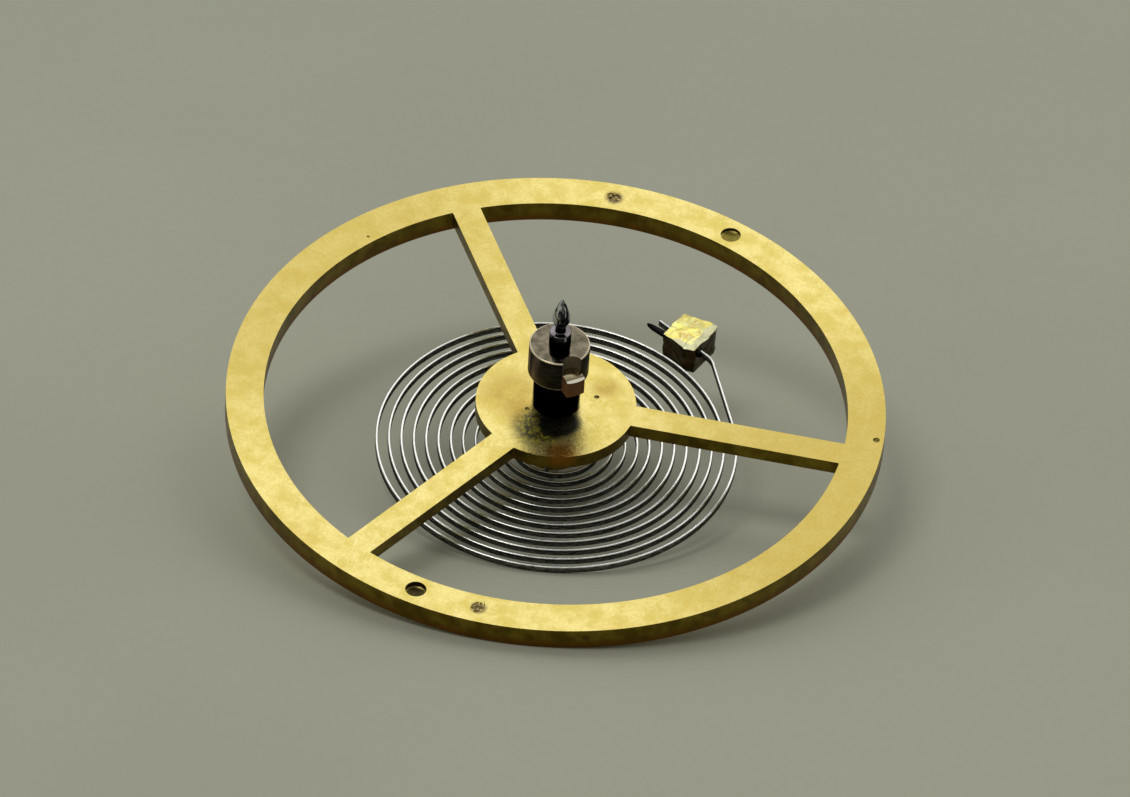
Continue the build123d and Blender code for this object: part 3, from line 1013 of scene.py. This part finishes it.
def build_hairspring():
    start = crossing(0) + strip_offset
    strip = Strip((inner_tail, strip_offset, strip_middle), 180.0)
    strip.run(inner_tail - start)
    strip.bend(strip_offset, 90.0, 16)
    for index in range(half_turns):
        strip.bend(abs(crossing(index + 1) - crossing(index)) / 2, 180.0, 40 + index)
    strip.bend(last_coil, outer_arc_turn, 20)
    ahead = turned(1, strip.heading)
    through = turned(1, strip_heading)
    away = strip_entry - strip.place
    across = ahead.x * through.y - ahead.y * through.x
    to_corner = (away.x * through.y - away.y * through.x) / across
    past_corner = (ahead.x * away.y - ahead.y * away.x) / across
    turn = (strip_heading - strip.heading) % 360
    cut = stud_bend_radius * math.tan(math.radians(turn / 2))
    strip.run(to_corner - cut, 6)
    strip.bend(stud_bend_radius, turn, 16)
    strip.run(past_corner - cut + strip_past_entry, 4)
    strip.close()
    waver(strip.form)
    piece = finish_piece(strip.form, "hairspring_strip", None, "spring_steel", ["hairspring"], 50.0)
    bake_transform(piece, "stud_side", "balance", start=(last_coil * MM, 0, 0), end=(first_coil * MM, 0, 0))
    follow = piece.data.attributes["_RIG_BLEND"].data
    for corner, value in zip(piece.data.vertices, follow):
        reach = corner.co.xy.length / MM
        value.value = min(1.0, max(0.0, (last_coil - reach) / (last_coil - first_coil)))


# Stud: a rough-filed block at the strip's outer end
stud_hole_reach = 5.524
stud_angle = 61.32
stud_heading = 157.0
stud_length = 1.04
stud_outset = 0.32
stud_point = turned(stud_hole_reach, stud_angle)
along_stud = turned(1, stud_heading)
stud_inwards = turned(1, stud_heading + 90)
# The strip and the pin enter at one point and part a little on their way through the hole
strip_entry = stud_point - along_stud * stud_length / 2 + upwards * strip_middle
stud_hole_radius = 0.14
along_hole = turned(1, 151.0)
pin_heading = 154.0
strip_heading = 146.0
strip_past_entry = 1.58
# Its outline from above, as distances forward and inward from the middle of the block
stud_outline = (
    (0.60, -0.48), (-0.22, -0.62), (-0.44, -0.60), (-0.50, -0.44), (-0.51, 0.56),
    (-0.19, 0.66), (0.56, 0.52), (0.60, 0.42), (0.58, -0.12),
)
# Filed facets: a point and the way the facet faces, both forward, inward and up from the
# middle of the upper face, and how much of the rubbed edge's painted highlight it takes
stud_facets = (
    ((-0.28, 0.0, 0.0), (-0.28, -0.05, 0.96), 1.0),
    ((0.0, 0.49, 0.0), (0.0, 0.45, 0.90), 1.0),
    ((0.0, -0.54, 0.0), (0.1, -0.6, 0.8), 0.5),
    ((0.53, 0.0, 0.0), (0.6, 0.0, 0.8), 0.5),
    ((0.10, -0.05, 0.0), (0.05, -0.12, 0.99), 0.0),
    ((0.25, 0.05, -0.02), (0.15, 0.02, 0.98), 0.0),
)
stud_edge_round = 0.018
# Its uneven surface: the pitch of the grid that divides the faces, the fineness and depth of
# each layer, and where the noise is read for each direction
divide_pitch = 0.08
uneven_layers = ((2.6, 0.045), (6.0, 0.03))
noise_shifts = ((9.3, -1.5, -8.0), (0.0, 0.0, 0.0), (6.3, 0.2, -2.7))


def stud_at(forward, inward, height):
    return stud_point + along_stud * forward + stud_inwards * inward + upwards * height


def rough_shift(place):
    """How far a point of the stud moves in each direction, smoothly from place to place."""
    total = Vector((0, 0, 0))
    for fineness, depth in uneven_layers:
        read = [noise.noise(place * fineness + Vector(shift)) for shift in noise_shifts]
        total += Vector(read) * depth
    return total


def cross_cut(form, low, high, pitch):
    """Divides the faces of a form along a grid, without changing its shape."""
    for axis in range(3):
        facing = Vector((0, 0, 0))
        facing[axis] = 1
        count = int((high[axis] - low[axis]) / pitch)
        for index in range(1, count + 1):
            everything = form.verts[:] + form.edges[:] + form.faces[:]
            place = facing * (low[axis] + index * pitch)
            bmesh.ops.bisect_plane(form, geom=everything, plane_co=place, plane_no=facing)


def build_stud():
    form = bmesh.new()
    corners = [form.verts.new(stud_at(x, y - stud_outset, stud_low.z)) for x, y in stud_outline]
    floor_face = form.faces.new(corners)
    made = bmesh.ops.extrude_face_region(form, geom=[floor_face])
    upper = [item for item in made["geom"] if isinstance(item, bmesh.types.BMVert)]
    bmesh.ops.translate(form, vec=(0, 0, stud_high.z - stud_low.z), verts=upper)
    bmesh.ops.recalc_face_normals(form, faces=form.faces)
    for (forward, inward, up), (along, inwards, facing_up), rubbed_highlight in stud_facets:
        place = stud_at(forward, inward - stud_outset, stud_high.z + up)
        facing = along_stud * along + stud_inwards * inwards + upwards * facing_up
        slice_off(form, place, facing, rubbed_highlight)
    sharp = sharp_edges(form, 25)
    filed = [edge for edge in sharp if min(corner.co.z for corner in edge.verts) > strip_middle]
    round_edges(form, filed, stud_edge_round, 2)
    margin = Vector((0.2, 0.2, 0))
    cross_cut(form, stud_low - margin, stud_high + margin, divide_pitch)
    for corner in form.verts:
        if corner.co.z > stud_low.z + 0.05:
            corner.co += rough_shift(corner.co)
    hole_start = strip_entry - along_hole
    form = combine(form, cylinder(hole_start, along_hole, stud_hole_radius, 3, 32), "DIFFERENCE")
    finish_piece(form, "stud", "stud_side", "stud_brass", ["hairspring_stud"], 20.0)


build_wheel()
build_staff()
build_roller()
build_finger()
build_collet()
build_stud()
build_hairspring()

collet_pin_place = Vector((0, pin_hole_offset, strip_middle))
collet_pin = taper_pin(*collet_pin_ends, collet_pin_place, Vector((-1, 0, 0)), Vector((0, 1, 0)))
finish_piece(collet_pin, "collet_taper_pin", "balance", "pin_steel", ["collet_pin"])
along_pin = turned(1, pin_heading)
stud_pin_place = strip_entry + along_pin * stud_length / 2 + stud_inwards * strip_thickness / 2
stud_pin = taper_pin(*stud_pin_ends, stud_pin_place, along_pin, turned(1, pin_heading - 90))
finish_piece(stud_pin, "stud_taper_pin", "stud_side", "pin_steel", ["stud_pin"])


# Paper below. The balance lies on its lower pivot and on the rim's lower edge at the front
floor_size = 4000.0
rim_contact_angle = -83.0
floor_gap = 0.02


def paper():
    """Grey paper with fine fibres. From below it isn't seen, so that the part still shows."""
    material, tree, shader, place = new_material("grey_paper", 0.0, 0.9)
    fibres = tree.noise(place, 3.0, detail=6.0, roughness=0.7)
    cloud = tree.noise(place, 0.05, detail=3.0)
    colour = tree.mix(tree.range(cloud, 0.35, 0.65), shade(168, 169, 151), shade(172, 173, 154))
    colour = tree.cover(colour, 0.2, tree.range(fibres, 0.3, 0.7), shade(163, 164, 146))
    tree.feed(shader.inputs["Base Color"], colour)
    tree.feed(shader.inputs["Normal"], tree.bump(fibres, 0.01))
    shader.inputs["Specular IOR Level"].default_value = 0.1
    clear = tree.nodes.new("ShaderNodeBsdfTransparent")
    side = tree.nodes.new("ShaderNodeNewGeometry")
    choose = tree.nodes.new("ShaderNodeMixShader")
    tree.feed(choose.inputs["Fac"], side.outputs["Backfacing"])
    tree.feed(choose.inputs[1], shader.outputs["BSDF"])
    tree.feed(choose.inputs[2], clear.outputs["BSDF"])
    tree.feed(tree.nodes["Material Output"].inputs["Surface"], choose.outputs["Shader"])
    return material


def lay_floor():
    uphill = turned(1, rim_contact_angle)
    slope = (wheel_low.z - staff_low.z) / wheel_radius
    facing = (upwards - uphill * slope).normalized()
    form = bmesh.new()
    bmesh.ops.create_grid(form, x_segments=8, y_segments=8, size=floor_size / 2)
    turn = upwards.rotation_difference(facing).to_matrix().to_4x4()
    bmesh.ops.transform(form, matrix=Matrix.Translation(facing * -floor_gap) @ turn, verts=form.verts)
    bmesh.ops.scale(form, vec=(MM, MM, MM), verts=form.verts)
    floor = shown_form(form, "floor")
    floor.data.materials.append(paper())


lay_floor()


# Light and camera
def add_lamp(name, direction, elevation, distance, size, brightness):
    """A square soft lamp that looks at the wheel from a direction and an elevation, in degrees."""
    lamp = bpy.data.lights.new(name, "AREA")
    lamp.shape = "SQUARE"
    lamp.size = size * MM
    lamp.energy = brightness * math.pi * (size * MM) ** 2
    holder = add_object(name, lamp)
    flat = distance * math.cos(math.radians(elevation))
    holder.location = turned(flat, direction, distance * math.sin(math.radians(elevation))) * MM
    holder.rotation_euler = holder.location.to_track_quat("Z", "Y").to_euler()


add_lamp("key_lamp", direction=195.0, elevation=71.0, distance=600.0, size=200.0, brightness=5.6)
add_lamp("back_softbox", direction=93.0, elevation=29.0, distance=700.0, size=850.0, brightness=1.06)

world = bpy.data.worlds.new("studio")
scene.world = world
world.use_nodes = True
room = world.node_tree.nodes["Background"]
room.inputs["Color"].default_value = (0.36, 0.36, 0.355, 1)
room.inputs["Strength"].default_value = 1.0

camera_place = Vector((67.226, -404.589, wheel_top + 384.961))
camera_aim = Vector((0.210, 0.197, wheel_top))
camera_roll = 3.7656
camera_lens = 657.87

camera_data = bpy.data.cameras.new("camera")
camera_data.sensor_width = 36.0
camera_data.lens = camera_lens
camera_data.clip_start = 0.01
camera_data.clip_end = 20.0
camera = add_object("camera", camera_data)
camera.location = camera_place * MM
look = (camera_aim - camera_place).to_track_quat("-Z", "Y")
camera.rotation_mode = "QUATERNION"
camera.rotation_quaternion = look @ Matrix.Rotation(math.radians(camera_roll), 3, "Z").to_quaternion()
scene.camera = camera

scene.view_settings.view_transform = "Standard"
